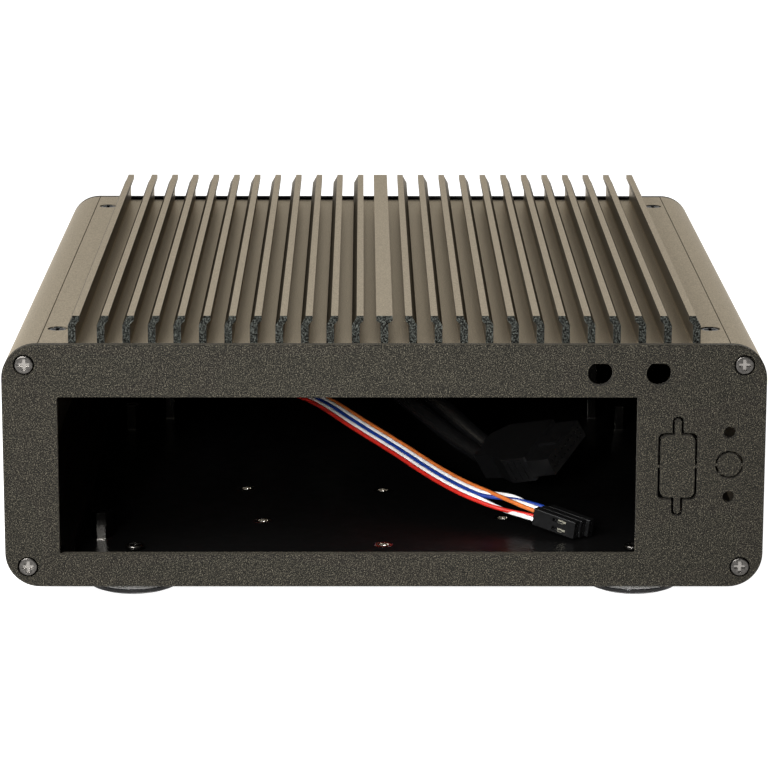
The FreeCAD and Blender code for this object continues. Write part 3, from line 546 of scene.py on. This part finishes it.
USB_UPPER_ROUTE = (
    (-26.6, 92.0, 37.0),
    (-26.6, 78.2, 37.2),
    (-24.9, 62.5, 38.6),
    (-21.2, 45.8, 40.9),
    (-15.7, 29.5, 43.3),
    (-9.1, 13.5, 44.7),
    (-1.2, -2.1, 44.3),
    (7.4, -14.2, 41.5),
    (14.9, -22.8, 37.4),
    (21.9, -29.2, 32.5),
    (28.0, -34.2, 27.8),
    (34.1, -38.9, 23.9),
)
USB_DIAMETER = 5.0 * MM
USB_SIDES = 24
WIRE_PITCH = 1.2 * MM
WIRE_RADIUS = 0.63 * MM
WIRE_SIDES = 12
TUCK_UNDER = 1.1 * MM
RIBBON_COLOURS = ("wire_red", "wire_white", "wire_blue", "wire_white", "wire_orange", "wire_white")
MIDDLE_WIRE = (len(RIBBON_COLOURS) - 1) / 2
RIBBON_SLOTS = ("wire_red", "wire_white", "wire_blue", "wire_orange")
# which way the flat of the ribbon lies, at shares of its length
RIBBON_LIE = (
    (0.0, Vector((1.0, 0.0, 0.0))),
    (0.35, Vector((0.75, 0.62, 0.10))),
    (0.60, Vector((0.72, 0.58, 0.30))),
    (1.0, Vector((0.60, 0.55, 0.45))),
)
# share of the ribbon's length past which the wires part
SPLIT_SHARE = 0.87
# how far the last wire lies in over its neighbour, in wire pitches
TUCK_IN = 0.8
# each wire's own entry: (which housing, lower or upper socket, bow up and bow along the row, mm)
WIRE_ENDS = (
    (1, -1, -0.3, -0.8),
    (0, -1, -0.9, 0.6),
    (2, 1, 0.4, 0.4),
    (1, 1, -0.2, 1.0),
    (0, 1, 0.2, -0.6),
    (2, -1, 1.4, 1.2),
)
HOUSING_FORWARD = Vector((0.80, -0.57, -0.15)).normalized()
HOUSING_STEP = 2.6 * MM
HOUSING_STAGGER = (0.0, 0.5 * MM, 1.6 * MM)
CONTACT_SIDE = 1.27 * MM
WIRE_REACH_IN = 1.0 * MM


def ribbon_lie(share):
    for (from_share, first), (to_share, second) in zip(RIBBON_LIE, RIBBON_LIE[1:]):
        if share <= to_share:
            return first.lerp(second, smooth_step((share - from_share) / (to_share - from_share)))
    return RIBBON_LIE[-1][1]


def make_ribbon():
    points = centreline("ribbon", RIBBON_ROUTE)
    count = len(points)
    across = Vector((0, 0, 1)).cross(HOUSING_FORWARD).normalized()
    up = HOUSING_FORWARD.cross(across).normalized()
    bm = bmesh.new()
    for number, (colour, (housing, side, rise, drift)) in enumerate(zip(RIBBON_COLOURS, WIRE_ENDS)):
        tucked = number == len(RIBBON_COLOURS) - 1
        offset = (number - MIDDLE_WIRE - (TUCK_IN if tucked else 0.0)) * WIRE_PITCH
        entry = points[-1] + across * HOUSING_STEP * (housing - 1) + up * CONTACT_SIDE * side
        entry += HOUSING_FORWARD * (HOUSING_STAGGER[housing] + WIRE_REACH_IN)
        wire = []
        for index, point in enumerate(points):
            share = index / (count - 1)
            before = points[max(index - 1, 0)]
            after = points[min(index + 1, count - 1)]
            tangent = (after - before).normalized()
            lie = ribbon_lie(share)
            lie = (lie - tangent * lie.dot(tangent)).normalized()
            place = point + lie * offset
            if tucked:
                under = lie.cross(tangent)
                place -= under * math.copysign(TUCK_UNDER, under.z)
            loose = smooth_step((share - SPLIT_SHARE) / (1 - SPLIT_SHARE))
            goal = entry + (point - points[-1])
            place = place.lerp(goal, loose)
            place += (up * rise + across * drift) * MM * math.sin(math.pi * loose)
            wire.append(place)
        ring_tube(bm, wire, WIRE_RADIUS, WIRE_SIDES, RIBBON_SLOTS.index(colour))
    mesh = bpy.data.meshes.new("ribbon_wires")
    bm.to_mesh(mesh)
    bm.free()
    for slot in RIBBON_SLOTS:
        mesh.materials.append(finishes[slot])
    piece = add_piece("ribbon_wires", mesh, "wire_red")
    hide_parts("ribbon_lead")


def make_usb_lead(name, route):
    points = centreline(name, route)
    bm = bmesh.new()
    ring_tube(bm, points, USB_DIAMETER / 2, USB_SIDES)
    mesh = bpy.data.meshes.new(name + "_jacket")
    bm.to_mesh(mesh)
    bm.free()
    piece = add_piece(name + "_jacket", mesh, "cable_black")
    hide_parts(name)


make_ribbon()
make_usb_lead("usb_lead_lower", USB_LOWER_ROUTE)
make_usb_lead("usb_lead_upper", USB_UPPER_ROUTE)


# ---------------------------------------------------------------- small details
THREAD_PITCH = 0.7 * MM
THREAD_STEPS = 20
RIDGE_RADIUS = 0.16 * MM
RIDGE_SIDES = 6


def mount_place(name):
    """A mount's centre, radius and length, in metres."""
    for mount in frame["record"]["mounts"]:
        if mount["name"] == name:
            return Vector(mount["pos_m"]), mount["dims"]["r_mm"] * MM, mount["dims"]["length_mm"] * MM


def make_threads(name, mount_names, axis, slot):
    """Cut threads: a fine helical ridge on the wall of each tapped hole."""
    bm = bmesh.new()
    for mount_name in mount_names:
        centre, radius, length = mount_place(mount_name)
        side = axis.orthogonal().normalized()
        other = axis.cross(side)
        rise = length - THREAD_PITCH
        points = []
        for step in range(int(rise / THREAD_PITCH * THREAD_STEPS) + 1):
            turn = 2 * math.pi * step / THREAD_STEPS
            along = axis * (THREAD_PITCH * step / THREAD_STEPS - rise / 2)
            points.append(centre + along + (side * math.cos(turn) + other * math.sin(turn)) * radius)
        ring_tube(bm, points, RIDGE_RADIUS, RIDGE_SIDES)
    mesh = bpy.data.meshes.new(name)
    bm.to_mesh(mesh)
    bm.free()
    add_piece(name, mesh, slot)


Y_AXIS = Vector((0, 1, 0))
Z_AXIS = Vector((0, 0, 1))
make_threads("panel_hole_threads", ["panel_tapped_hole_1", "panel_tapped_hole_2"], Y_AXIS, "textured_black")
STANDOFFS = ["board_standoff_%d" % number for number in (1, 2, 3, 4)]
make_threads("standoff_threads", STANDOFFS, Z_AXIS, "plated_brass")
INSERTS = ["floor_insert_%d" % number for number in (1, 2, 3, 4, 5)]
make_threads("insert_threads", INSERTS, Z_AXIS, "plated_brass")


# ---------------------------------------------------------------- floor and light
DIM_SIDE = 0.15
BRIGHT_SIDE = 0.70
FLOOR_GLOW = 0.95
FLOOR_HALF = 4.0
# the world's light brightens towards this direction, between these two shares of facing it
BRIGHT_TOWARDS = (0.0, 0.75, 0.66)
BRIGHTEN_FROM = -0.25
BRIGHTEN_TO = 0.75
KEY_AT = (-0.36, -0.52, 0.45)
KEY_AIM = (0, -0.1, 0.04)
KEY_SIZE = (0.45, 0.35)
KEY_WATTS = 9.0
SPOT_AT = (-0.25, -1.3, 0.40)
SPOT_AIM = (0.015, -0.07, 0.03)
SPOT_WATTS = 80.0
SPOT_DEGREES = 12.0
SPOT_SOFTNESS = 0.1


def make_floor():
    mesh = bpy.data.meshes.new("studio_floor")
    corners = [(x * FLOOR_HALF, y * FLOOR_HALF, 0) for x, y in ((-1, -1), (1, -1), (1, 1), (-1, 1))]
    mesh.from_pydata(corners, [], [(0, 1, 2, 3)])
    floor = bpy.data.objects.new("studio_floor", mesh)
    bpy.context.scene.collection.objects.link(floor)
    finish = Finish("studio_floor", (0.5, 0.5, 0.5), 0.9, Specular_IOR_Level=0.1)
    finish.shader.inputs["Emission Color"].default_value = (1.0, 1.0, 1.0, 1.0)
    finish.shader.inputs["Emission Strength"].default_value = FLOOR_GLOW
    mesh.materials.append(finish.material)


def put_light(data, place, target):
    light = bpy.data.objects.new(data.name, data)
    bpy.context.scene.collection.objects.link(light)
    light.location = place
    aim = Vector(target) - Vector(place)
    light.rotation_euler = aim.to_track_quat("-Z", "Y").to_euler()


def area_light(name, place, target, size, power):
    data = bpy.data.lights.new(name, "AREA")
    data.shape = "RECTANGLE"
    data.size, data.size_y = size
    data.energy = power
    put_light(data, place, target)


def make_world():
    """Soft light from above and from the front panel's side, dim on the rear panel's side."""
    world = bpy.data.worlds.new("studio")
    bpy.context.scene.world = world
    world.use_nodes = True
    nodes_of = world.node_tree.nodes
    links = world.node_tree.links
    where = nodes_of.new("ShaderNodeTexCoord")
    aim = nodes_of.new("ShaderNodeVectorMath")
    aim.operation = "DOT_PRODUCT"
    aim.inputs[1].default_value = BRIGHT_TOWARDS
    links.new(where.outputs["Generated"], aim.inputs[0])
    level = nodes_of.new("ShaderNodeMapRange")
    level.interpolation_type = "SMOOTHSTEP"
    level.inputs["From Min"].default_value = BRIGHTEN_FROM
    level.inputs["From Max"].default_value = BRIGHTEN_TO
    level.inputs["To Min"].default_value = DIM_SIDE
    level.inputs["To Max"].default_value = BRIGHT_SIDE
    links.new(aim.outputs["Value"], level.inputs["Value"])
    background = nodes_of["Background"]
    background.inputs["Color"].default_value = (1.0, 1.0, 1.0, 1.0)
    links.new(level.outputs["Result"], background.inputs["Strength"])


def make_light():
    bpy.context.scene.view_settings.view_transform = "Standard"
    make_world()
    area_light("key", KEY_AT, KEY_AIM, KEY_SIZE, KEY_WATTS)
    data = bpy.data.lights.new("front", "SPOT")
    data.energy = SPOT_WATTS
    data.spot_size = math.radians(SPOT_DEGREES)
    data.spot_blend = 1.0
    data.shadow_soft_size = SPOT_SOFTNESS
    put_light(data, SPOT_AT, SPOT_AIM)


make_floor()
make_light()
